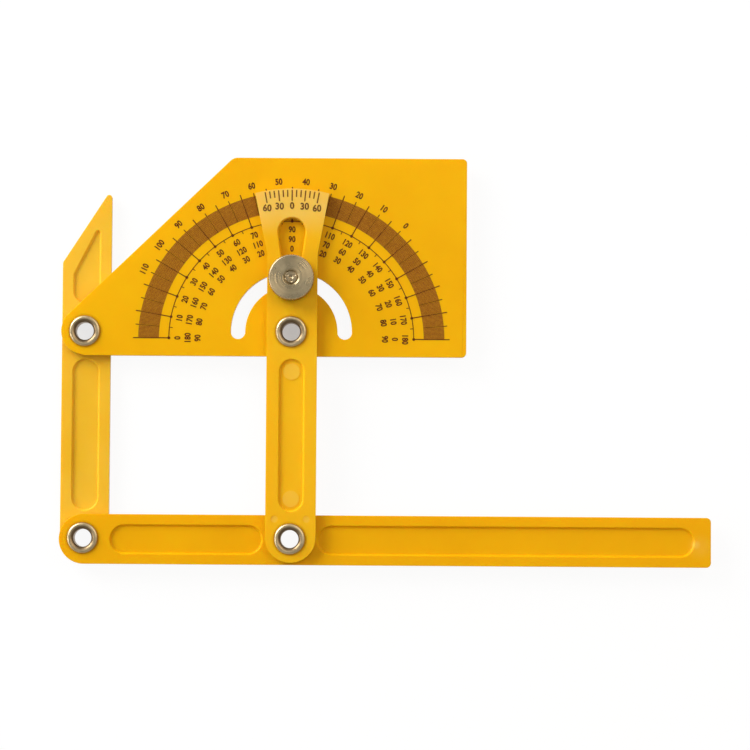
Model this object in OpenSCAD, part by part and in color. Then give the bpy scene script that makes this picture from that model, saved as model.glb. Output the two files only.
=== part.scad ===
// Angle ruler: a protractor plate and three bars make a parallelogram on four tubular eyelets,
// and a thumb nut on a screw in the plate's arc slot locks the pointer.
// Origin: the axis of the protractor pivot, at the plate's printed face.
// +X runs right along the scale's base line, +Y up, and +Z out of the printed face.

/* [Linkage] */
// Distance between neighbouring pivots, both ways
pivot_pitch = 79; // [74:1:90]
// Thickness of each plastic piece
layer_t = 3; // [2.6:0.1:4]
// Play between two plastic pieces that lie on each other
layer_play = 0.1; // [0.05:0.01:0.2]
// Distance from a pivot to the round end beside it
end_r = 9; // [8.4:0.1:9]
// Radius of the small corner rounds
corner_r = 1.8; // [1:0.1:3]

/* [Protractor plate] */
// Height of the top edge above the pivot line
plate_top = 66.9; // [64:0.1:75]
// Depth of the bottom edge below the pivot line
plate_bottom = 9.3; // [9.3:0.1:11]
// Distance of the right edge from the protractor pivot
plate_right = 66.9; // [62:0.1:80]
// Length of the top edge to the left of the protractor pivot
plate_top_left = 21; // [10:0.5:30]
// Radius of the obtuse corner at the top left
obtuse_r = 4; // [2:0.5:8]
// Radius of the arc slot's centre line
slot_r = 20.4; // [19:0.1:24]
// Width of the arc slot
slot_w = 5.5; // [5.2:0.1:6.5]

/* [Pointer link] */
// Width of the link
link_w = 19.2; // [18.5:0.1:22]
// Sideways offset of the link's middle from its pivots
link_offset = 0.3; // [0:0.05:0.4]
// Radius of the vernier edge about the protractor pivot
vernier_r = 54.8; // [53:0.1:60]
// Width of the vernier head
head_w = 29; // [26:0.2:32]
// Height where the head begins to widen
head_start = 29.7; // [26:0.1:34]
// Height of the reading window's top
window_top = 43.5; // [42:0.1:45]
// Width of the reading window at its top
window_w = 10.3; // [9:0.1:12]
// Width of the reading window at its lower end
window_low_w = 8; // [6:0.1:9]
// Material between the reading window and the screw's hole
window_land = 3.2; // [2:0.1:5]
// Width of the slope round the reading window
window_slope = 0.5; // [0.3:0.1:1.5]

/* [Pockets] */
// Depth of the pockets in the bars
pocket_depth = 1; // [0.6:0.1:1.4]
// Width of the slope round a pocket
pocket_slope = 0.6; // [0.4:0.1:1]
// Distance from a pivot to the pocket next to it
pocket_gap = 10.3; // [9:0.1:14]
// Width of the link's pocket
link_pocket_w = 9.9; // [8:0.1:12]
// Width of the side arm's pockets
side_pocket_w = 10.5; // [8:0.1:11.5]
// Width of the long arm's pockets
long_pocket_w = 11.3; // [9:0.1:13]
// Diameter of the ejector discs on the link's pocket floor
ejector_d = 6.4; // [4:0.1:7]
// Height of the ejector discs
ejector_h = 0.2; // [0.1:0.05:0.4]
// Diameter of the two ejector marks above the link's foot
mark_d = 2.8; // [1.5:0.1:4]
// Distance between the two ejector marks
mark_pitch = 12.1; // [11:0.1:13]
// Height of the ejector marks above the foot pivot
mark_rise = 7.5; // [7.5:0.1:8.5]
// Depth of the ejector marks
mark_depth = 0.15; // [0.1:0.05:0.3]

/* [Side arm] */
// Width of the side arm
side_w = 18.6; // [17.6:0.1:19]
// Sideways offset of the side arm's middle from its pivots
side_offset = 0.4; // [0:0.05:0.8]
// Height of the pointed tip above the upper pivot
tip_rise = 52.6; // [46:0.1:60]
// Height above the upper pivot where the slant begins
slant_foot = 25.9; // [24:0.1:32]
// Radius of the pointed tip
tip_r = 1.1; // [0.6:0.1:2]
// Radius of the upper pocket's two narrow rounds
nose_r = 1.2; // [1:0.1:2]
// Distance from the pointed tip down to the upper pocket's last round
nose_gap = 14.8; // [12:0.1:20]

/* [Long arm] */
// Width of the long arm
long_w = 19; // [18.5:0.1:21]
// Offset of the long arm's middle below its pivots
long_offset = 0.4; // [0:0.05:0.5]
// Distance from the corner pivot to the far end
long_reach = 239.5; // [200:0.5:300]
// Distance from the far end to the pocket
long_pocket_end = 6.2; // [4:0.1:15]

/* [Eyelets] */
// Inner diameter of the eyelets
eyelet_bore = 6.8; // [6:0.1:7.2]
// Wall of the eyelets
eyelet_wall = 0.5; // [0.3:0.05:0.6]
// Clearance between an eyelet and the holes it passes through
eyelet_fit = 0.05; // [0.03:0.01:0.1]
// Play of an eyelet on the piece that turns on it
eyelet_play = 0.05; // [0.03:0.01:0.1]
// Outer diameter of the rolled flange
flange_d = 11.8; // [10.6:0.1:12.4]
// Height of the rolled flange
flange_h = 0.9; // [0.7:0.05:1.2]
// Outer diameter of the clinched back end
clinch_d = 10.4; // [9.8:0.1:11]
// Height of the clinched back end
clinch_h = 0.7; // [0.5:0.05:0.9]
// Outer diameter of the back washers
washer_d = 12; // [11:0.1:13]
// Thickness of the back washers
washer_t = 0.4; // [0.3:0.05:0.6]

/* [Clamp] */
// Diameter of the clamp screw
screw_d = 5; // [4:0.1:5]
// Clearance round the screw in the link's hole
screw_fit = 0.1; // [0.05:0.01:0.2]
// Clearance between the screw and the nut's bore
thread_fit = 0.05; // [0.03:0.01:0.1]
// Clearance between the screw's square neck and the arc slot
neck_fit = 0.1; // [0.05:0.01:0.2]
// Play of the screw's head and the nut on the faces they clamp
clamp_play = 0.05; // [0.03:0.01:0.1]
// Height of the screw's square neck
neck_h = 2.6; // [2:0.1:2.9]
// Diameter of the screw's head
head_d = 11.2; // [9.5:0.1:13]
// Height of the screw's head
head_h = 2.6; // [2:0.1:3]
// Height of the straight rim below the head's dome
head_rim = 0.5; // [0.3:0.1:1]
// Chamfer of the screw's end
screw_chamfer = 0.4; // [0.2:0.1:0.8]
// Radius and depth of the centre mark in the screw's end
punch_r = 0.9; // [0.5:0.1:1]
// Radius and depth of the stake marks round it
stake_r = 0.5; // [0.3:0.1:0.6]
// Distance of the stake marks from the screw's axis
stake_out = 1.55; // [1.5:0.05:1.6]
// Number of stake marks
stakes = 3; // [2:1:6]
// Diameter of the thumb nut
nut_d = 17.5; // [15:0.1:19]
// Height of the thumb nut
nut_h = 6; // [5:0.1:8]
// Chamfer of the thumb nut's rims
nut_chamfer = 0.6; // [0.4:0.1:1]
// Depth of the knurl
knurl_depth = 0.3; // [0.2:0.05:0.5]
// Number of teeth in the knurl
knurl_teeth = 56; // [40:1:80]
// Depth of the countersink in the nut's top face
countersink = 0.7; // [0.3:0.1:1]
// Depth of the screw's end below the nut's top face
screw_recess = 0.4; // [0.2:0.1:1]

/* [Hidden] */
$fn = 96;
eps = 0.01;
tiny = 0.000001;
// Facets of the rounds that a hull joins
hull_fn = 32;
// Largest angle between two points of a rounded outline
arc_step = 4;

// Colours of the moulded plastic, the eyelets and the clamp
yellow = [0.95, 0.70, 0.08];
brass = [0.78, 0.64, 0.38];
dull_brass = [0.60, 0.50, 0.36];

// The four pivots
pivot = [0, 0];
plate_pivot = [-pivot_pitch, 0];
corner_pivot = [-pivot_pitch, -pivot_pitch];
foot_pivot = [0, -pivot_pitch];

// The three layers, from the back: side arm, then plate and long arm, then link
plate_z = -layer_t;
link_z = layer_play;
link_top = link_z + layer_t;
side_z = plate_z - layer_play - layer_t;

// Radii of the eyelets
bore_r = eyelet_bore / 2;
barrel_r = bore_r + eyelet_wall;
hole_r = barrel_r + eyelet_fit;

// Where each eyelet seats in front, and where its washer seats behind. The pieces that turn on an
// eyelet have its play, and the ones that carry it touch it.
pivot_seat = link_top + eyelet_play;
pivot_back = plate_z;
plate_seat = 0;
plate_back = side_z - eyelet_play;
corner_seat = eyelet_play;
corner_back = side_z;
foot_seat = link_top;
foot_back = plate_z - eyelet_play;

// The screw stands in the slot, straight above the pivot
screw = [0, slot_r];
screw_hole_r = screw_d / 2 + screw_fit;
window_low = slot_r + screw_hole_r + window_land;
nut_z = link_top + clamp_play;
nut_top = nut_z + nut_h;

// Half the side of the largest square that follows the slot with neck_fit to spare at its corners
slot_limit = slot_r + slot_w / 2 - neck_fit;
neck_half = (sqrt(2 * slot_limit * slot_limit - slot_r * slot_r) - slot_r) / 2;

// Way in which the common outer tangent of two rounds faces, going from a to b with the shape on the left
function facing(a, b) =
    let (d = [b.x - a.x, b.y - a.y])
    atan2(d.y, d.x) - acos((a[2] - b[2]) / norm(d));

// Points of a convex outline round a list of rounds, each given as x, y and radius, anticlockwise
function belt(rounds) =
    let (n = len(rounds))
    [
        for (i = [0:n - 1])
            let (
                here = rounds[i],
                from = facing(rounds[(i + n - 1) % n], here),
                to = facing(here, rounds[(i + 1) % n]),
                turn = (to - from + 360 + tiny) % 360,
                steps = here[2] > 0 ? ceil(turn / arc_step) : 0
            )
            for (k = [0:steps])
                let (angle = from + turn * k / max(steps, 1))
                [here.x, here.y] + here[2] * [cos(angle), sin(angle)]
    ];

// Cutter for a pocket: rounds, each given as x, y and the radius at the mouth, joined by tangents
module pocket(rounds, face_z) {
    lip = pocket_slope * eps / pocket_depth;
    hull()
        for (spot = rounds)
            translate([spot.x, spot.y, face_z - pocket_depth])
                cylinder(
                    h = pocket_depth + eps,
                    r1 = max(spot[2] - pocket_slope, eps),
                    r2 = spot[2] + lip,
                    $fn = hull_fn
                );
}

// Hole for an eyelet through every layer
module eyelet_hole(at, radius = hole_r) {
    translate([at.x, at.y, side_z - eps])
        cylinder(h = link_top - side_z + 2 * eps, r = radius);
}

module arc_slot() {
    intersection() {
        difference() {
            circle(r = slot_r + slot_w / 2);
            circle(r = slot_r - slot_w / 2);
        }
        translate([-2 * slot_r, 0]) square([4 * slot_r, 2 * slot_r]);
    }
    for (side = [-1, 1])
        translate([side * slot_r, 0]) circle(r = slot_w / 2);
}

// The slanted edge touches the round end about the plate pivot
module plate_outline() {
    bottom = -max(plate_bottom, end_r);
    polygon(belt([
        [plate_pivot.x, plate_pivot.y, end_r],
        [plate_pivot.x, bottom, 0],
        [plate_right - corner_r, bottom + corner_r, corner_r],
        [plate_right - corner_r, plate_top - corner_r, corner_r],
        [-plate_top_left, plate_top - obtuse_r, obtuse_r]
    ]));
}

module protractor_plate() {
    color(yellow) difference() {
        translate([0, 0, plate_z]) linear_extrude(layer_t) difference() {
            plate_outline();
            arc_slot();
        }
        eyelet_hole(pivot);
        eyelet_hole(plate_pivot);
    }
}

// Straight bar with a round foot, and a head that widens up to the vernier edge
module link_outline() {
    left = link_offset - link_w / 2;
    right = link_offset + link_w / 2;
    polygon(belt([
        [link_offset, foot_pivot.y - end_r + link_w / 2, link_w / 2],
        [right, head_start, 0],
        [left, head_start, 0]
    ]));
    intersection() {
        circle(r = vernier_r);
        polygon([
            [left, head_start], [right, head_start], [head_w / 2, vernier_r], [-head_w / 2, vernier_r]
        ]);
    }
}

// The window's lower and upper rounds
function window_rounds() = [
    [0, window_low + window_low_w / 2, window_low_w / 2],
    [0, window_top - window_w / 2, window_w / 2]
];

// Slope from the link's face down to the window's edge at a third of the thickness
module window_bevel() {
    bevel_h = layer_t / 3;
    hull()
        for (spot = window_rounds())
            translate([spot.x, spot.y, link_top - bevel_h])
                cylinder(h = bevel_h + eps, r1 = spot[2], r2 = spot[2] + window_slope, $fn = hull_fn);
}

module pointer_link() {
    pocket_r = link_pocket_w / 2;
    first = -pocket_gap - pocket_r;
    last = foot_pivot.y + pocket_gap + pocket_r;
    color(yellow) {
        difference() {
            translate([0, 0, link_z]) linear_extrude(layer_t) difference() {
                link_outline();
                polygon(belt(window_rounds()));
            }
            eyelet_hole(pivot);
            eyelet_hole(foot_pivot);
            translate([screw.x, screw.y, link_z - eps])
                cylinder(h = layer_t + 2 * eps, r = screw_hole_r);
            pocket([[link_offset, first, pocket_r], [link_offset, last, pocket_r]], link_top);
            window_bevel();
            for (side = [-1, 1])
                translate([
                    link_offset + side * mark_pitch / 2,
                    foot_pivot.y + mark_rise,
                    link_top - mark_depth
                ])
                    cylinder(h = mark_depth + eps, d = mark_d);
        }
        for (y = [first, last])
            translate([link_offset, y, link_top - pocket_depth - ejector_h])
                cylinder(h = 2 * ejector_h, d = ejector_d);
    }
}

// Straight bar with a round lower end and a pointed tip
module side_outline() {
    left = side_offset - side_w / 2;
    right = side_offset + side_w / 2;
    translate(plate_pivot) polygon(belt([
        [side_offset, -pivot_pitch - end_r + side_w / 2, side_w / 2],
        [right - tip_r, tip_rise - tip_r, tip_r],
        [left + corner_r, slant_foot, corner_r]
    ]));
}

// The upper pocket follows the slant of the tip
module side_arm() {
    face_z = side_z + layer_t;
    mid = plate_pivot.x + side_offset;
    pocket_r = side_pocket_w / 2;
    rim = (side_w - side_pocket_w) / 2;
    color(yellow) difference() {
        translate([0, 0, side_z]) linear_extrude(layer_t) side_outline();
        eyelet_hole(plate_pivot);
        eyelet_hole(corner_pivot);
        pocket([
            [mid, -pocket_gap - pocket_r, pocket_r],
            [mid, corner_pivot.y + pocket_gap + pocket_r, pocket_r]
        ], face_z);
        pocket([
            [mid, pocket_gap + pocket_r, pocket_r],
            [mid - pocket_r + nose_r, slant_foot - rim, nose_r],
            [mid + pocket_r - nose_r, tip_rise - nose_gap, nose_r]
        ], face_z);
    }
}

module long_arm() {
    low = -long_offset - long_w / 2;
    high = -long_offset + long_w / 2;
    pocket_r = long_pocket_w / 2;
    y = corner_pivot.y - long_offset;
    far_end = corner_pivot.x + long_reach;
    color(yellow) difference() {
        translate([corner_pivot.x, corner_pivot.y, plate_z]) linear_extrude(layer_t) polygon(belt([
            [long_w / 2 - end_r, -long_offset, long_w / 2],
            [long_reach - corner_r, low + corner_r, corner_r],
            [long_reach - corner_r, high - corner_r, corner_r]
        ]));
        eyelet_hole(corner_pivot);
        eyelet_hole(foot_pivot);
        pocket([
            [corner_pivot.x + pocket_gap + pocket_r, y, pocket_r],
            [foot_pivot.x - pocket_gap - pocket_r, y, pocket_r]
        ], 0);
        pocket([
            [foot_pivot.x + pocket_gap + pocket_r, y, pocket_r],
            [far_end - long_pocket_end - pocket_r, y, pocket_r]
        ], 0);
    }
}

// Section cutter that rounds the outer corner lying towards way from its centre
module corner_cut(corner, radius, way) {
    centre = corner - radius * way;
    outer = corner + eps * way;
    difference() {
        translate([min(centre.x, outer.x), min(centre.y, outer.y)]) square(radius + eps);
        translate(centre) circle(r = radius);
    }
}

// Tubular eyelet: a flange rolled over the face at seat_z, and a back end clinched at back_z
module eyelet(at, seat_z, back_z) {
    flange_r = flange_d / 2;
    clinch_r = clinch_d / 2;
    top_z = seat_z + flange_h;
    end_z = back_z - clinch_h;
    color(brass) translate([at.x, at.y, 0]) rotate_extrude() difference() {
        union() {
            translate([bore_r, end_z]) square([eyelet_wall, top_z - end_z]);
            translate([bore_r, seat_z]) square([flange_r - bore_r, flange_h]);
            translate([bore_r, end_z]) square([clinch_r - bore_r, clinch_h]);
        }
        corner_cut([flange_r, top_z], flange_h, [1, 1]);
        corner_cut([bore_r, top_z], flange_r - bore_r - flange_h, [-1, 1]);
        corner_cut([clinch_r, end_z], clinch_h, [1, -1]);
        corner_cut([bore_r, end_z], clinch_r - bore_r - clinch_h, [-1, -1]);
    }
}

// Washer under a clinched end, with its front face at front_z
module washer(at, front_z) {
    color(brass) translate([at.x, at.y, front_z - washer_t]) difference() {
        cylinder(h = washer_t, d = washer_d);
        translate([0, 0, -eps]) cylinder(h = washer_t + 2 * eps, r = hole_r);
    }
}

module pivot_eyelet() { eyelet(pivot, pivot_seat, pivot_back - washer_t); }
module plate_eyelet() { eyelet(plate_pivot, plate_seat, plate_back - washer_t); }
module corner_eyelet() { eyelet(corner_pivot, corner_seat, corner_back - washer_t); }
module foot_eyelet() { eyelet(foot_pivot, foot_seat, foot_back - washer_t); }
module pivot_washer() { washer(pivot, pivot_back); }
module plate_washer() { washer(plate_pivot, plate_back); }
module corner_washer() { washer(corner_pivot, corner_back); }
module foot_washer() { washer(foot_pivot, foot_back); }

// Cone that cuts a punch mark of equal radius and depth into a face at top_z
module punch_mark(radius, top_z) {
    translate([0, 0, top_z - radius]) cylinder(h = radius + eps, r1 = 0, r2 = radius + eps);
}

// Domed head behind the plate, square neck in the arc slot, and shank up into the nut
module clamp_screw() {
    head_r = head_d / 2;
    head_z = plate_z - clamp_play;
    dome_h = head_h - head_rim;
    dome_r = (head_r * head_r + dome_h * dome_h) / (2 * dome_h);
    shank_r = screw_d / 2;
    end_z = nut_top - screw_recess;
    color(dull_brass) translate([screw.x, screw.y, 0]) {
        difference() {
            rotate_extrude() {
                intersection() {
                    translate([0, head_z - head_h + dome_r]) circle(r = dome_r);
                    translate([0, head_z - head_h]) square([head_r, dome_h]);
                }
                translate([0, head_z - head_rim]) square([head_r, head_rim]);
                polygon([
                    [0, head_z], [shank_r, head_z], [shank_r, end_z - screw_chamfer],
                    [shank_r - screw_chamfer, end_z], [0, end_z]
                ]);
            }
            punch_mark(punch_r, end_z);
            for (i = [0:stakes - 1])
                rotate(360 * (i + 0.25) / stakes) translate([stake_out, 0]) punch_mark(stake_r, end_z);
        }
        translate([-neck_half, -neck_half, head_z - eps])
            cube([2 * neck_half, 2 * neck_half, neck_h + eps]);
    }
}

// Straight-knurled round nut with chamfered rims and a countersunk thread
module thumb_nut() {
    nut_r = nut_d / 2;
    thread_r = screw_d / 2 + thread_fit;
    step = 360 / knurl_teeth;
    color(dull_brass) translate([screw.x, screw.y, nut_z]) difference() {
        intersection() {
            linear_extrude(nut_h) polygon([
                for (i = [0:knurl_teeth - 1])
                    each [
                        nut_r * [cos(i * step), sin(i * step)],
                        (nut_r - knurl_depth) * [cos((i + 0.5) * step), sin((i + 0.5) * step)]
                    ]
            ]);
            rotate_extrude() polygon([
                [0, 0], [nut_r - nut_chamfer, 0], [nut_r + eps, nut_chamfer + eps],
                [nut_r + eps, nut_h - nut_chamfer - eps], [nut_r - nut_chamfer, nut_h], [0, nut_h]
            ]);
        }
        translate([0, 0, -eps]) cylinder(h = nut_h + 2 * eps, r = thread_r);
        translate([0, 0, nut_h - countersink])
            cylinder(h = countersink + eps, r1 = thread_r, r2 = thread_r + countersink + eps);
    }
}

protractor_plate();
pointer_link();
side_arm();
long_arm();
pivot_eyelet();
plate_eyelet();
corner_eyelet();
foot_eyelet();
pivot_washer();
plate_washer();
corner_washer();
foot_washer();
clamp_screw();
thumb_nut();
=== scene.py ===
import math

import bmesh
import bpy
from mathutils import Euler, Matrix, Vector


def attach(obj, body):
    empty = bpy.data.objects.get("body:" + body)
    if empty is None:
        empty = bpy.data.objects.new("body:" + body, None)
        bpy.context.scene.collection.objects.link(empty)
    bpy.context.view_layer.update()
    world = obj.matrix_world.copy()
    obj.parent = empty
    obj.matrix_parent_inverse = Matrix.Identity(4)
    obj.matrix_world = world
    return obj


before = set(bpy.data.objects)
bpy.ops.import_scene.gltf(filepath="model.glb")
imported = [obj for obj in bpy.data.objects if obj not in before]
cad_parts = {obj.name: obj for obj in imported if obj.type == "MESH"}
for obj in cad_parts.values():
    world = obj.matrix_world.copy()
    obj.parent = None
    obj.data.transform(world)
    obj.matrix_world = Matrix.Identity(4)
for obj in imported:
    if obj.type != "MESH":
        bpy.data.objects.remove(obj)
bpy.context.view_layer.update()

MM = 0.001

# Places in the frame, in mm: the front faces, the eyelets, the thumb nut and the floor
PLATE_FACE = 0.0
LINK_FACE = 3.1
SIDE_FACE = -3.1
EYELETS = {"pivot": (0.0, 0.0), "plate": (-79.0, 0.0), "corner": (-79.0, -79.0), "foot": (0.0, -79.0)}
NUT_CENTRE = (0.0, 20.4)
FLOOR = -7.27

# The two shades of each plastic piece; the side arm's are its tone paled by a painted sheen
PLATE_TONE = (0.89, 0.455, 0.001), (0.95, 0.505, 0.001)
LINK_TONE = (0.89, 0.475, 0.006), (0.95, 0.53, 0.012)
SIDE_TONE_AND_SHEEN = (0.89, 0.50, 0.020), (0.95, 0.57, 0.045)
ARM_TONE = (0.87, 0.43, 0.001), (0.93, 0.475, 0.001)

# What the plastic turns to: painted shade on side walls and round a flange, a pale mark, and frosted
WALL_PAINTED_SHADE = (0.42, 0.17, 0.002)
SEAT_PAINTED_SHADOW = (0.60, 0.24, 0.002)
PALE_SHADE = (0.95, 0.65, 0.14)
FROST_SHADE = (0.92, 0.61, 0.15)

# Distances in mm below a piece's front face over which the painted shade on its walls fades out,
# and over which its raised face begins
PAINTED_WALL_FADE = (2.0, 0.6)
RAISED_FADE = (0.7, 0.3)

# Radii in mm over which painted shade fades: beside a flange, in an eyelet's mouth, at its rim, at
# the thumb nut's rim, and on the floor below an eyelet
SEAT_RING = (5.9, 7.0)
MOUTH_RING = (4.3, 4.9)
FLANGE_RIM = (5.5, 5.9)
NUT_RIM = (8.25, 8.6)
FLOOR_RING = (3.6, 8.0)

# The link's frosted head: heights in mm up the link
LINK_FROST = (35.0, 46.5)

# Pale marks, each as its centre, its inner and outer radius in mm, and how pale it is: the
# mould's ejector marks and discs on the link, and a worn spot at the long arm's end
LINK_SPOTS = [((x, -71.5), 1.0, 1.6, 0.28) for x in (-5.75, 6.35)]
LINK_SPOTS += [((0.3, y), 2.9, 3.4, 0.27) for y in (-15.25, -63.75)]
ARM_SPOTS = [((154.8, -80.2), 0.3, 2.2, 0.42), ((156.4, -81.0), 0.5, 6.0, 0.15)]

# Brass and ink in two shades each
FLANGE_BRASS = (0.69, 0.55, 0.32), (0.80, 0.66, 0.41)
NUT_BRASS = (0.60, 0.49, 0.295), (0.73, 0.60, 0.365)
SCREW_BRASS = (0.50, 0.40, 0.24), (0.66, 0.53, 0.33)
DIAL_INK = (0.11, 0.024, 0.002), (0.19, 0.055, 0.005)
HAIR_INK = (0.29, 0.100, 0.006), (0.39, 0.150, 0.010)
VERNIER_INK = (0.13, 0.05, 0.012), (0.22, 0.10, 0.03)


def add_object(name, data):
    """A new object in the scene."""
    made = bpy.data.objects.new(name, data)
    bpy.context.scene.collection.objects.link(made)
    return made


# Node trees and materials


class Value:
    """A number or vector that varies over a surface. Arithmetic on it adds Math nodes."""

    def __init__(self, nodes, socket):
        self.nodes = nodes
        self.socket = socket

    def math(self, operation, *values, clamp=False):
        settings = {"operation": operation, "use_clamp": clamp}
        return self.nodes.node("ShaderNodeMath", settings, dict(enumerate(values)))

    def __add__(self, other):
        return self.math("ADD", self, other)

    __radd__ = __add__

    def __sub__(self, other):
        return self.math("SUBTRACT", self, other)

    def __rsub__(self, other):
        return self.math("SUBTRACT", other, self)

    def __mul__(self, other):
        return self.math("MULTIPLY", self, other)

    __rmul__ = __mul__

    def __pow__(self, power):
        return self.math("POWER", self, power)

    def size(self):
        """The value without its sign."""
        return self.math("ABSOLUTE", self)

    def capped(self):
        """The value held between 0 and 1."""
        return self.math("ADD", self, 0.0, clamp=True)

    def fade(self, low, high):
        """0 below low and 1 above high, with a soft step between them."""
        settings = {"interpolation_type": "SMOOTHSTEP"}
        sockets = {"Value": self, "From Min": low, "From Max": high}
        return self.nodes.node("ShaderNodeMapRange", settings, sockets)

    def fade_mm(self, low, high):
        """The same for a length, with low and high in mm."""
        return self.fade(low * MM, high * MM)


class Nodes:
    """A node tree, and what adds nodes to it."""

    def __init__(self, tree):
        self.tree = tree

    def node(self, kind, settings=None, sockets=None, output=0):
        """Adds a node: its settings first, then the values or links of its sockets."""
        made = self.tree.nodes.new(kind)
        for name, value in (settings or {}).items():
            setattr(made, name, value)
        for name, value in (sockets or {}).items():
            if isinstance(value, Value):
                self.tree.links.new(value.socket, made.inputs[name])
            else:
                made.inputs[name].default_value = value
        return Value(self, made.outputs[output])

    def split(self, vector):
        """The three parts of a vector."""
        parts = self.node("ShaderNodeSeparateXYZ", sockets={0: vector})
        outputs = parts.socket.node.outputs
        return [Value(self, outputs[axis]) for axis in "XYZ"]

    def vector(self, operation, *values, output=0):
        settings = {"operation": operation}
        return self.node("ShaderNodeVectorMath", settings, dict(enumerate(values)), output)

    def noise(self, place, scale, detail=2.0, roughness=0.5):
        """Soft random variation, finer with a larger scale."""
        sockets = {"Vector": place, "Scale": scale, "Detail": detail, "Roughness": roughness}
        return self.node("ShaderNodeTexNoise", {}, sockets)

    def blend(self, share, first, second):
        """Mixes two colours, each a Value or three numbers."""
        first, second = (
            colour if isinstance(colour, Value) else (*colour, 1.0)
            for colour in (first, second)
        )
        return self.node("ShaderNodeMix", {"data_type": "RGBA"}, {0: share, 6: first, 7: second}, 2)


class Finish(Nodes):
    """One material, and the values that are the same all over it."""

    def __init__(self, name, **constants):
        self.material = bpy.data.materials.new(name)
        self.material.use_nodes = True
        super().__init__(self.material.node_tree)
        self.shader = self.tree.nodes["Principled BSDF"]
        for socket, value in constants.items():
            self.shader.inputs[socket.replace("_", " ")].default_value = value

    def place(self):
        """The point on the piece, in metres in the frame at rest."""
        return self.node("ShaderNodeTexCoord", output="Object")

    def facing(self):
        """The way the surface faces."""
        return self.node("ShaderNodeNewGeometry", output="Normal")

    def about(self, place, centre):
        """The distance from an upright axis through a centre in mm, and the way out from it."""
        out = self.vector("SUBTRACT", place, (centre[0] * MM, centre[1] * MM, 0.0))
        out = self.vector("MULTIPLY", out, (1.0, 1.0, 0.0))
        return self.vector("LENGTH", out, output="Value"), self.vector("NORMALIZE", out)

    def bump(self, height, distance, strength, normal=None):
        sockets = {"Height": height, "Distance": distance, "Strength": strength}
        if normal:
            sockets["Normal"] = normal
        return self.node("ShaderNodeBump", {}, sockets)

    def feed(self, **sockets):
        """Links what varies to the shader."""
        for name, value in sockets.items():
            self.tree.links.new(value.socket, self.shader.inputs[name.replace("_", " ")])
        return self.material


def moulded_yellow(name, face, tone, seats=(), frost=None, spots=()):
    """Yellow moulded plastic: face is the height in mm of the piece's front face, and tone its
    two shades. seats are the eyelets whose flanges press on that face, each with a painted
    shadow round it. Its side walls get painted shade, darker towards the back. frost gives the
    heights over which it turns frosted, and spots its pale marks."""
    finish = Finish(
        name,
        IOR=1.5,
        Specular_IOR_Level=0.13,
        Subsurface_Weight=0.36,
        Subsurface_Scale=0.0030,
        Subsurface_Radius=(1.0, 0.45, 0.05),
    )
    place = finish.place()
    _, y, z = finish.split(place)
    flow = finish.noise(place, scale=14.0, detail=3.0, roughness=0.55).fade(0.3, 0.7)
    cloud = finish.noise(place, scale=70.0).fade(0.3, 0.7)
    grain = finish.noise(place, scale=2600.0, roughness=0.6)
    ripple = finish.noise(place, scale=150.0)
    raised = z.fade_mm(*(face - depth for depth in RAISED_FADE))

    colour = finish.blend(flow * 0.75 + cloud * 0.25, *tone)
    # Painted shade: the side walls darken, most towards the back, where shade falls between layers
    upright = finish.split(finish.facing())[2].size()
    shaded_wall = 1.0 - upright.fade(0.3, 0.8)
    shaded_wall = shaded_wall * (1.0 - z.fade_mm(*(face - depth for depth in PAINTED_WALL_FADE)))
    colour = finish.blend(shaded_wall * 0.65, colour, WALL_PAINTED_SHADE)
    # Painted shadow round each flange that presses on this face
    for seat in seats:
        radius, _ = finish.about(place, EYELETS[seat])
        flange_shadow = raised * (1.0 - radius.fade_mm(*SEAT_RING))
        colour = finish.blend(flange_shadow * 0.6, colour, SEAT_PAINTED_SHADOW)
    matt = raised * 0.4
    for centre, inner, outer, share in spots:
        radius, _ = finish.about(place, centre)
        pale = 1.0 - radius.fade_mm(inner, outer)
        colour = finish.blend(pale * share, colour, PALE_SHADE)
        matt = matt * (1.0 - pale)
    if frost:
        frosted = y.fade_mm(*frost) * raised
        colour = finish.blend(frosted * (0.5 + 0.2 * cloud), colour, FROST_SHADE)
        matt = matt + frosted * 0.5
    roughness = 0.28 + 0.16 * matt + 0.05 * flow + 0.04 * (grain - 0.5)

    surface = finish.bump(ripple, distance=0.0001, strength=0.3)
    surface = finish.bump(grain, distance=0.000012, strength=0.5, normal=surface)
    return finish.feed(Base_Color=colour, Roughness=roughness, Normal=surface)


def rolled_brass(name, centre):
    """Pressed brass of an eyelet and its washer: bright on the flange, with painted shade in the
    mouth and at the flange's outer edge.
    """
    finish = Finish(name, Metallic=1.0)
    place = finish.place()
    radius, _ = finish.about(place, centre)
    cloud = finish.noise(place, scale=420.0, detail=3.0, roughness=0.6).fade(0.3, 0.75)
    speck = finish.noise(place, scale=2400.0, roughness=0.6).fade(0.45, 0.7)
    dent = finish.noise(place, scale=500.0, detail=1.0)
    # Painted shade: the mouth and the flange's outer edge are darkened where shade falls on them
    mouth = 1.0 - radius.fade_mm(*MOUTH_RING)
    rim = radius.fade_mm(*FLANGE_RIM)
    colour = finish.blend(cloud, *FLANGE_BRASS)
    colour = finish.blend(mouth * 0.85 + rim * 0.6, colour, (0.22, 0.14, 0.07))
    colour = finish.blend(speck * 0.12, colour, (0.40, 0.27, 0.13))
    roughness = 0.34 + 0.10 * cloud + 0.06 * speck
    surface = finish.bump(dent, distance=0.00002, strength=0.25)
    return finish.feed(Base_Color=colour, Roughness=roughness, Normal=surface)


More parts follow.
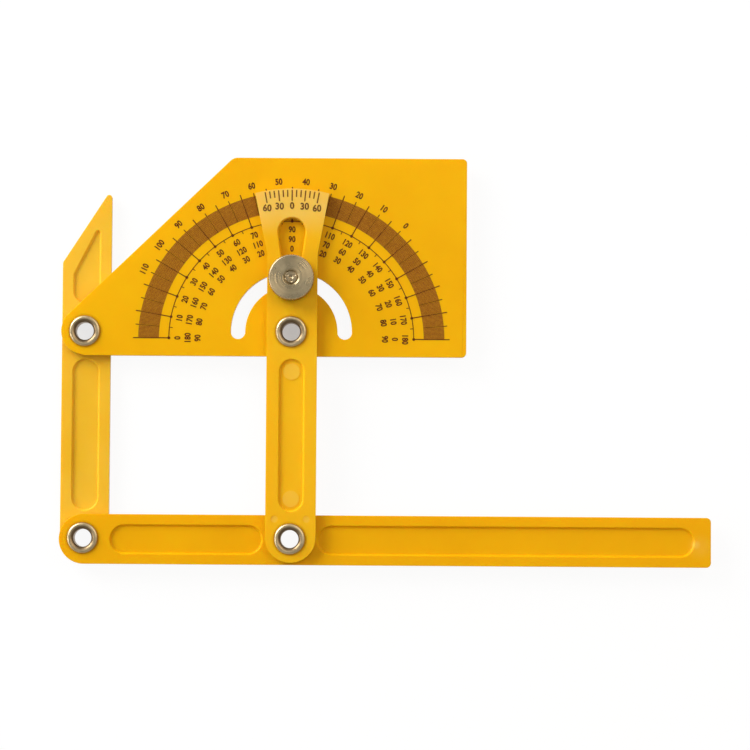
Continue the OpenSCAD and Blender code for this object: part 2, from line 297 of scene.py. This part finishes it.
def turned_brass(name, centre, tone):
    """Dull brass in two shades, turned about an axis, with fine rings from the tool, a painted sheen
    that varies round the axis, and painted shade at the thumb nut's rim.
    """
    finish = Finish(name, Metallic=1.0)
    place = finish.place()
    radius, radial = finish.about(place, centre)
    cloud = finish.noise(place, scale=220.0).fade(0.3, 0.75)
    speck = finish.noise(place, scale=3000.0, roughness=0.6).fade(0.4, 0.7)
    # A painted sheen: the colour brightens and darkens by direction round the axis
    sheen_sector = finish.noise(radial, scale=2.4).fade(0.35, 0.65)
    settings = {"noise_dimensions": "1D"}
    sockets = {"W": radius, "Scale": 5600.0, "Detail": 2.0, "Roughness": 0.6}
    rings = finish.node("ShaderNodeTexNoise", settings, sockets)
    streak = rings.fade(0.35, 0.65)

    colour = finish.blend(0.5 * sheen_sector + 0.3 * streak + 0.2 * cloud, *tone)
    colour = finish.blend(speck * 0.12, colour, (0.38, 0.27, 0.15))
    # Painted shade at the thumb nut's rim
    rim = radius.fade_mm(*NUT_RIM)
    colour = finish.blend(rim * 0.75, colour, (0.25, 0.16, 0.07))

    tilt = (rings - 0.5) * 1.5
    lean = finish.node("ShaderNodeVectorMath", {"operation": "SCALE"}, {0: radial, "Scale": tilt})
    normal = finish.vector("NORMALIZE", finish.vector("ADD", finish.facing(), lean))
    return finish.feed(Base_Color=colour, Roughness=0.25 + 0.08 * cloud, Normal=normal)


def scale_ink(name, tone):
    """Printed ink in two shades, paler where it is thin."""
    finish = Finish(name, Specular_IOR_Level=0.15)
    thin = finish.noise(finish.place(), scale=700.0, detail=3.0, roughness=0.6).fade(0.35, 0.75)
    colour = finish.blend(thin * 0.8, *tone)
    return finish.feed(Base_Color=colour, Roughness=0.42 + 0.15 * thin)


# Print


class Print:
    """Ink that stands on a flat face as thin closed shapes, gathered into one mesh.
    It is drawn about a centre, and its rings are flatter by the share flat straight above it."""

    # How far the ink stands out of the face and goes into it, and how much further a ring and
    # a dot stand out, in mm
    HEIGHT = 0.03
    ROOT = 0.005
    RING_LIFT = 0.003
    DOT_LIFT = 0.006

    RING_STEPS = 180
    DOT_SIDES = 16

    # Of the numbers' font: how high a digit is to its size, its boldness and its spacing
    DIGIT_HEIGHT = 0.7
    BOLDNESS = 0.115
    SPACING = 1.03

    def __init__(self, face, centre=(0.0, 0.0), flat=0.0):
        self.centre = Vector(centre)
        self.flat = flat
        self.low = (face - self.ROOT) * MM
        self.high = (face + self.HEIGHT) * MM
        self.mesh = bmesh.new()

    def at(self, angle, radius):
        """The point in mm on the ray at an angle."""
        reach = radius * (1.0 - self.flat * math.sin(angle) ** 2)
        return self.centre + Vector((math.cos(angle), math.sin(angle))) * reach

    def strip(self, left, right, lift=0.0):
        """A closed strip between two rows of points in mm. lift raises it over other ink."""
        add = self.mesh.verts.new
        rows = [
            [add((x * MM, y * MM, z)) for x, y in row]
            for z in (self.low, self.high + lift * MM)
            for row in (left, right)
        ]
        low_left, low_right, high_left, high_right = rows
        face = self.mesh.faces.new
        for i in range(len(left) - 1):
            face((high_left[i], high_right[i], high_right[i + 1], high_left[i + 1]))
            face((low_left[i], low_left[i + 1], low_right[i + 1], low_right[i]))
            face((low_left[i], high_left[i], high_left[i + 1], low_left[i + 1]))
            face((low_right[i], low_right[i + 1], high_right[i + 1], high_right[i]))
        face((low_left[0], low_right[0], high_right[0], high_left[0]))
        face((low_left[-1], high_left[-1], high_right[-1], low_right[-1]))

    def ray(self, angle, inner, outer, width):
        """A line that points to the centre."""
        across = Vector((-math.sin(angle), math.cos(angle))) * width / 2
        ends = [self.at(angle, inner), self.at(angle, outer)]
        self.strip([end + across for end in ends], [end - across for end in ends])

    def wedge(self, angle, inner, outer, spread):
        """A line that points to the centre and widens outward by an angle."""
        sides = (angle + spread / 2, angle - spread / 2)
        self.strip(*([self.at(side, reach) for reach in (inner, outer)] for side in sides))

    def ring(self, radius, start, stop, width):
        """An arc about the centre."""
        steps = self.RING_STEPS
        angles = [start + (stop - start) * i / steps for i in range(steps + 1)]
        edges = (radius - width / 2, radius + width / 2)
        rows = ([self.at(angle, edge) for angle in angles] for edge in edges)
        self.strip(*rows, lift=self.RING_LIFT)

    def dot(self, angle, radius, size):
        """A round dot on the ray at an angle."""
        middle = self.at(angle, radius)
        turns = [2 * math.pi * i / self.DOT_SIDES for i in range(self.DOT_SIDES)]
        rim = [middle + Vector((math.cos(t), math.sin(t))) * size / 2 for t in turns]
        low, high = (
            [self.mesh.verts.new((p.x * MM, p.y * MM, z)) for p in rim]
            for z in (self.low, self.high + self.DOT_LIFT * MM)
        )
        self.mesh.faces.new(high)
        self.mesh.faces.new(low[::-1])
        for i in range(self.DOT_SIDES):
            j = (i + 1) % self.DOT_SIDES
            self.mesh.faces.new((low[i], low[j], high[j], high[i]))

    def number(self, text, angle, radius, height, turn=None, narrow=0.82):
        """A number centred on the ray at an angle, its top outward unless turn says otherwise."""
        curve = bpy.data.curves.new("number", "FONT")
        curve.body = str(text)
        curve.align_x, curve.align_y = "CENTER", "CENTER"
        curve.size = height / self.DIGIT_HEIGHT
        curve.offset = self.BOLDNESS
        curve.space_character = self.SPACING
        curve.extrude = (self.high - self.low) / MM / 2
        curve.resolution_u = 3
        holder = add_object("number", curve)
        bpy.context.view_layer.update()
        shape = bpy.data.meshes.new_from_object(
            holder.evaluated_get(bpy.context.evaluated_depsgraph_get())
        )
        turn = angle - math.pi / 2 if turn is None else turn
        middle = self.at(angle, radius) * MM
        shape.transform(
            Matrix.Translation((*middle, (self.low + self.high) / 2))
            @ Matrix.Rotation(turn, 4, "Z")
            @ Matrix.Diagonal((narrow * MM, MM, MM, 1.0))
        )
        self.mesh.from_mesh(shape)
        bpy.data.objects.remove(holder)
        bpy.data.curves.remove(curve)
        bpy.data.meshes.remove(shape)

    def finish(self, name, body, material):
        """Makes the piece, which rides on a body."""
        bmesh.ops.remove_doubles(self.mesh, verts=self.mesh.verts, dist=1e-7)
        bmesh.ops.recalc_face_normals(self.mesh, faces=self.mesh.faces)
        data = bpy.data.meshes.new(name)
        self.mesh.to_mesh(data)
        self.mesh.free()
        data.materials.append(material)
        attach(add_object(name, data), body)


# The dial as the photo shows it: its centre lies below the pivot, and its rings are a little
# flatter straight above. Radii and widths in mm, at the base line.
DIAL_CENTRE = (0.0, -2.5)
DIAL_FLAT = 0.037
DIAL_STEP = 10
BAND = (50.6, 58.5)
HALF_DEGREE_SPREAD = math.radians(0.44)
THIN_RING = 46.8
THIN_RING_WIDTH = 0.34
DOT_SIZE = 1.15
TEN_WIDTH = 0.4
TEN_PAST_BAND = 2.0
FIVE_WIDTH = 0.35
FIVE_PAST_BAND = 1.3
SHORT_MARK = 1.2
SHORT_MARK_WIDTH = 0.3
NUMBER_RINGS = (43.4, 39.5, 35.7)
NUMBER_HEIGHT = 2.2

# The outer row reads the ruler's angle: it begins on the ray at 45 degrees
OUTER_RING = 62.6
OUTER_HEIGHT = 2.3
OUTER_START = 45
OUTER_LAST = 110


def print_dial(ink, hair_ink):
    """The plate's three scales: a band of half degrees, a thin ring, and four rows of numbers."""
    hairs = Print(PLATE_FACE, DIAL_CENTRE, DIAL_FLAT)
    lines = Print(PLATE_FACE, DIAL_CENTRE, DIAL_FLAT)
    for half in range(361):
        angle = math.radians(half / 2)
        if half % 20 == 0:
            lines.ray(angle, THIN_RING, BAND[1] + TEN_PAST_BAND, TEN_WIDTH)
            lines.dot(angle, THIN_RING, DOT_SIZE)
        elif half % 10 == 0:
            lines.ray(angle, BAND[0], BAND[1] + FIVE_PAST_BAND, FIVE_WIDTH)
            lines.ray(angle, THIN_RING - SHORT_MARK, THIN_RING, SHORT_MARK_WIDTH)
        else:
            hairs.wedge(angle, *BAND, HALF_DEGREE_SPREAD)
    lines.ring(THIN_RING, 0.0, math.pi, THIN_RING_WIDTH)
    hairs.finish("dial_band", "plate", hair_ink)
    lines.finish("dial_lines", "plate", ink)

    numbers = Print(PLATE_FACE, DIAL_CENTRE, DIAL_FLAT)
    for value in range(0, 181, DIAL_STEP):
        angle = math.radians(180 - value)
        for radius, text in zip(NUMBER_RINGS, (value, 180 - value, abs(90 - value))):
            numbers.number(text, angle, radius, NUMBER_HEIGHT)
    for value in range(0, OUTER_LAST + 1, DIAL_STEP):
        numbers.number(value, math.radians(OUTER_START + value), OUTER_RING, OUTER_HEIGHT)
    numbers.finish("dial_numbers", "plate", ink)


# The vernier: radii, lengths and widths in mm, and the degrees from one tick or number to the
# next, which are a little more for the numbers
VERNIER_RIM = 54.3
VERNIER_TICK = 2.7
VERNIER_LONG_TICK = 4.2
VERNIER_WIDTH = 0.46
VERNIER_STEP = 11 / 6
VERNIER_NUMBERS = 48.1
VERNIER_NUMBER_STEP = 11.4 / 6
VERNIER_NUMBER_HEIGHT = 2.5


def print_vernier(ink):
    """Thirteen ticks that divide eleven half degrees by twelve, with their numbers."""
    marks = Print(LINK_FACE)
    for tick in range(-6, 7):
        angle = math.radians(90 - tick * VERNIER_STEP)
        length = VERNIER_LONG_TICK if tick % 3 == 0 else VERNIER_TICK
        marks.ray(angle, VERNIER_RIM - length, VERNIER_RIM, VERNIER_WIDTH)
    for tick in range(-6, 7, 3):
        angle = math.radians(90 - tick * VERNIER_NUMBER_STEP)
        marks.number(
            abs(tick) * 10, angle, VERNIER_NUMBERS, VERNIER_NUMBER_HEIGHT, turn=0.0, narrow=0.92
        )
    marks.finish("vernier_marks", "link", ink)


# The CAD nodes


def soften(node, material, width, sharp=30):
    """Gives a CAD node its material, and rounds of a width in mm on edges that are sharper than
    an angle in degrees."""
    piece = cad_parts[node]
    piece.data.materials.clear()
    piece.data.materials.append(material)
    weld = piece.modifiers.new("weld", "WELD")
    weld.merge_threshold = 1e-6
    if width:
        merge = piece.modifiers.new("merge", "DECIMATE")
        merge.decimate_type = "DISSOLVE"
        merge.angle_limit = math.radians(0.5)
        rounds = piece.modifiers.new("rounds", "BEVEL")
        rounds.width = width * MM
        rounds.segments = 3
        rounds.limit_method = "ANGLE"
        rounds.angle_limit = math.radians(sharp)
    shade = piece.modifiers.new("shade", "WEIGHTED_NORMAL")
    shade.keep_sharp = True


def finish_plastic():
    """The plate and the three bars."""
    plate = moulded_yellow("plate_yellow", PLATE_FACE, PLATE_TONE, ["plate"])
    link = moulded_yellow(
        "link_yellow", LINK_FACE, LINK_TONE, ["pivot", "foot"], LINK_FROST, LINK_SPOTS
    )
    side = moulded_yellow("side_yellow", SIDE_FACE, SIDE_TONE_AND_SHEEN)
    arm = moulded_yellow("arm_yellow", PLATE_FACE, ARM_TONE, ["corner"], spots=ARM_SPOTS)
    soften("protractor_plate", plate, width=0.25)
    soften("pointer_link", link, width=0.45)
    soften("side_arm", side, width=0.3)
    soften("long_arm", arm, width=0.45)


def finish_brass():
    """The eyelets, their washers, the clamp screw and the thumb nut."""
    for joint, centre in EYELETS.items():
        brass = rolled_brass(f"{joint}_brass", centre)
        soften(f"{joint}_eyelet", brass, width=0)
        soften(f"{joint}_washer", brass, width=0.08)
    soften("clamp_screw", turned_brass("screw_brass", NUT_CENTRE, SCREW_BRASS), width=0.06)
    soften("thumb_nut", turned_brass("nut_brass", NUT_CENTRE, NUT_BRASS), width=0.08, sharp=25)


# The studio

# How dark the painted shadow is on the floor deep below an eyelet that stays over it
PAINTED_SHADOW_BELOW = {"pivot": 0.56, "plate": 0.18}

# How far the floor reaches from the middle, in metres
FLOOR_REACH = 4.0

# How bright the room is overhead, and how much more at the horizon
ROOM_OVERHEAD = 0.28
ROOM_HORIZON = 0.72

# What every lamp is aimed at, in metres
AIM = (0.03, -0.01, 0.0)

# The camera: the point in mm that it looks at, how far away it stands, and its turn in degrees
CAMERA_TARGET = (32.1, -16.2, 0.0)
CAMERA_DISTANCE = 1200.0
CAMERA_TILT = 3.0
CAMERA_TURN = 0.38


def make_floor():
    """A pale floor that looks white and keeps shadows, with painted shadows deep below two eyelets.
    """
    finish = Finish(
        "studio_floor", Base_Color=(0.86, 0.86, 0.86, 1.0), Roughness=0.9, Specular_IOR_Level=0.0
    )
    rays = finish.node("ShaderNodeLightPath").socket.node.outputs
    seen = Value(finish, rays["Is Camera Ray"])
    for kind in ("Is Glossy Ray", "Is Transmission Ray"):
        seen = seen + Value(finish, rays[kind])
    share = seen.capped() * 0.9
    # Painted shadows darken the floor below the pivot and plate eyelets
    for joint, shade in PAINTED_SHADOW_BELOW.items():
        radius, _ = finish.about(finish.place(), EYELETS[joint])
        share = share * (1.0 - shade * (1.0 - radius.fade_mm(*FLOOR_RING)))
    white = {"Color": (1.0, 1.0, 1.0, 1.0), "Strength": 1.03}
    glow = finish.node("ShaderNodeEmission", {}, white)
    plain = Value(finish, finish.shader.outputs[0])
    mixed = finish.node("ShaderNodeMixShader", {}, {0: share, 1: plain, 2: glow})
    output = finish.tree.nodes["Material Output"]
    finish.tree.links.new(mixed.socket, output.inputs["Surface"])

    data = bpy.data.meshes.new("studio_floor")
    corners = [(-1, -1), (1, -1), (1, 1), (-1, 1)]
    points = [(x * FLOOR_REACH, y * FLOOR_REACH, FLOOR * MM) for x, y in corners]
    data.from_pydata(points, [], [(0, 1, 2, 3)])
    data.materials.append(finish.material)
    add_object("studio_floor", data)


def make_lamp(name, place, size, power, colour=(1.0, 1.0, 1.0)):
    """A square lamp: its place and size in metres, and its power in watts."""
    lamp = bpy.data.lights.new(name, "AREA")
    lamp.size = size
    lamp.energy = power
    lamp.color = colour
    holder = add_object(name, lamp)
    holder.location = place
    way = Vector(AIM) - Vector(place)
    holder.rotation_euler = way.to_track_quat("-Z", "Y").to_euler()


def make_world():
    """A pale room: grey overhead, and whiter at the horizon, most of all on the lit side."""
    world = bpy.data.worlds.new("studio_room")
    world.use_nodes = True
    bpy.context.scene.world = world
    room = Nodes(world.node_tree)
    way = room.node("ShaderNodeTexCoord", output="Generated")
    x, y, z = room.split(way)
    lit_side = 0.55 - 0.42 * x + 0.2 * y
    level = ROOM_OVERHEAD + ROOM_HORIZON * (1.0 - z.size()) ** 4.0 * lit_side
    shade = room.blend(level.capped(), (0.0, 0.0, 0.0), (1.0, 1.0, 1.0))
    room.tree.links.new(shade.socket, room.tree.nodes["Background"].inputs["Color"])


def make_camera():
    """A camera nearly straight above, as in the photo."""
    camera = bpy.data.cameras.new("camera")
    camera.sensor_width = 36.0
    camera.lens = 150.8
    camera.clip_start, camera.clip_end = 0.05, 20.0
    holder = add_object("camera", camera)
    turn = Euler((math.radians(CAMERA_TILT), 0.0, math.radians(CAMERA_TURN)))
    away = turn.to_matrix() @ Vector((0.0, 0.0, CAMERA_DISTANCE))
    holder.location = (Vector(CAMERA_TARGET) + away) * MM
    holder.rotation_euler = turn
    bpy.context.scene.camera = holder


print_dial(scale_ink("dial_ink", DIAL_INK), scale_ink("hair_ink", HAIR_INK))
print_vernier(scale_ink("vernier_ink", VERNIER_INK))
finish_plastic()
finish_brass()
make_floor()
make_world()
make_lamp("key", (-1.3, 1.1, 0.78), 1.2, 36.3)
make_lamp("side", (-1.5, -0.35, 0.75), 0.4, 4.9)
make_lamp("fill", (0.6, 0.4, 0.8), 0.8, 4.0, (1.0, 0.86, 0.70))
make_camera()

settings = bpy.context.scene.view_settings
settings.view_transform = "Standard"
